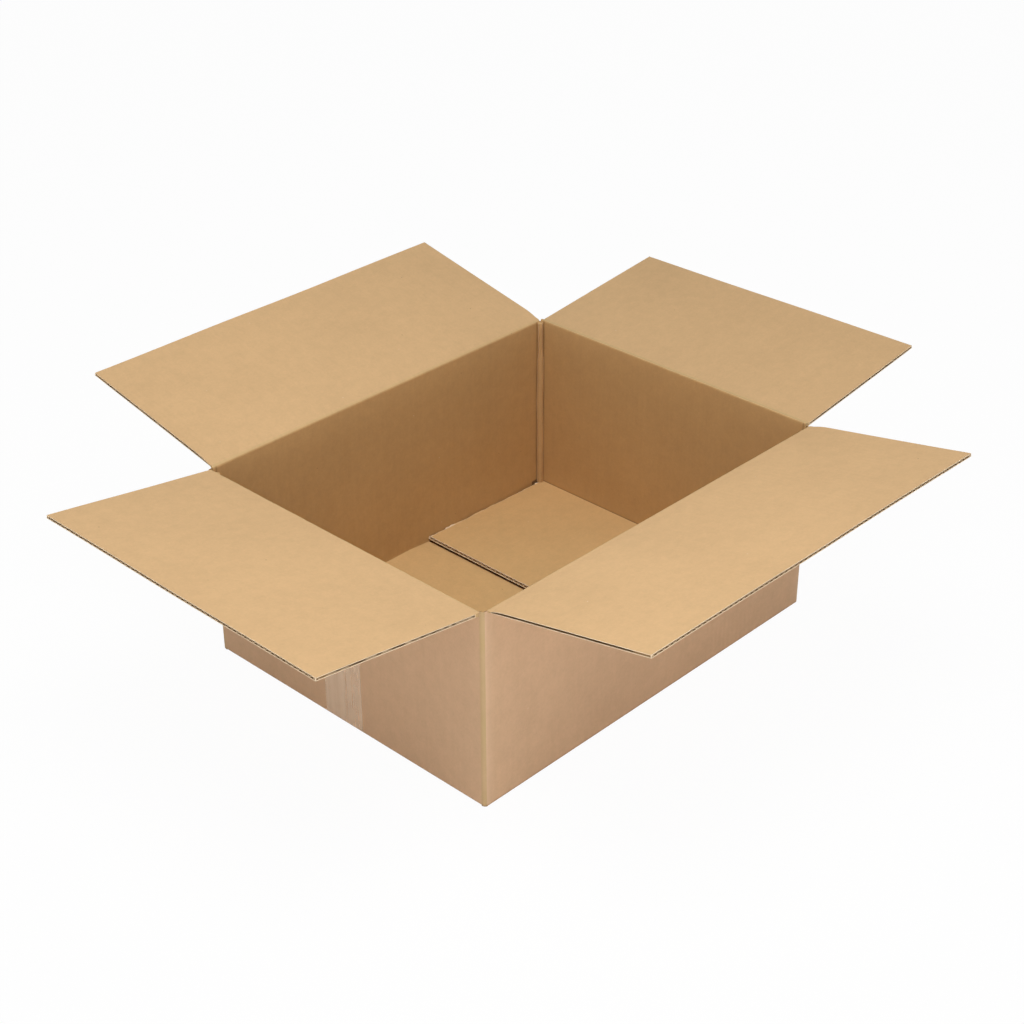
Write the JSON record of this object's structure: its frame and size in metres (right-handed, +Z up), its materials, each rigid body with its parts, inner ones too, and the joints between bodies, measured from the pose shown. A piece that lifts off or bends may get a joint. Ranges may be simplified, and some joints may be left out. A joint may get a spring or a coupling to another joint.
{
  "type": "open cardboard box",
  "caption": "Open-topped corrugated shipping carton with creased top flaps folded outwards, overlapping bottom flaps and a taped seam under the base.",
  "frame": {"origin": "on the floor under the middle of the base, on the underside of the seam tape", "axes": "+Z up, +X along the long walls towards the right short wall, +Y towards the back long wall"},
  "size_m": [0.7775, 0.6815, 0.2323],
  "materials": {
    "board": "plain brown kraft liner, matt, faint fibre mottling",
    "tape": "thin clear packing tape with a light grey cast"
  },
  "bodies": {
    "carton": {"box_body": "board", "bottom_tape": "tape"},
    "front_top_flap": {"front_top_flap": "board"},
    "back_top_flap": {"back_top_flap": "board"},
    "left_top_flap": {"left_top_flap": "board"},
    "right_top_flap": {"right_top_flap": "board"}
  },
  "joints": [
    {"name": "front_top_flap_crease", "type": "hinge", "parent": "carton", "child": "front_top_flap", "pos_m": [0, -0.17315, 0.1945], "axis": [-1, 0, 0], "range_deg": [-96.5, 168.5]},
    {"name": "back_top_flap_crease", "type": "hinge", "parent": "carton", "child": "back_top_flap", "pos_m": [0, 0.17315, 0.1945], "axis": [1, 0, 0], "range_deg": [-96.7, 168.3]},
    {"name": "left_top_flap_crease", "type": "hinge", "parent": "carton", "child": "left_top_flap", "pos_m": [-0.21915, 0, 0.1912], "axis": [0, 1, 0], "range_deg": [-93.4, 171.6]},
    {"name": "right_top_flap_crease", "type": "hinge", "parent": "carton", "child": "right_top_flap", "pos_m": [0.21915, 0, 0.1912], "axis": [0, -1, 0], "range_deg": [-91.8, 173.2]}
  ]
}
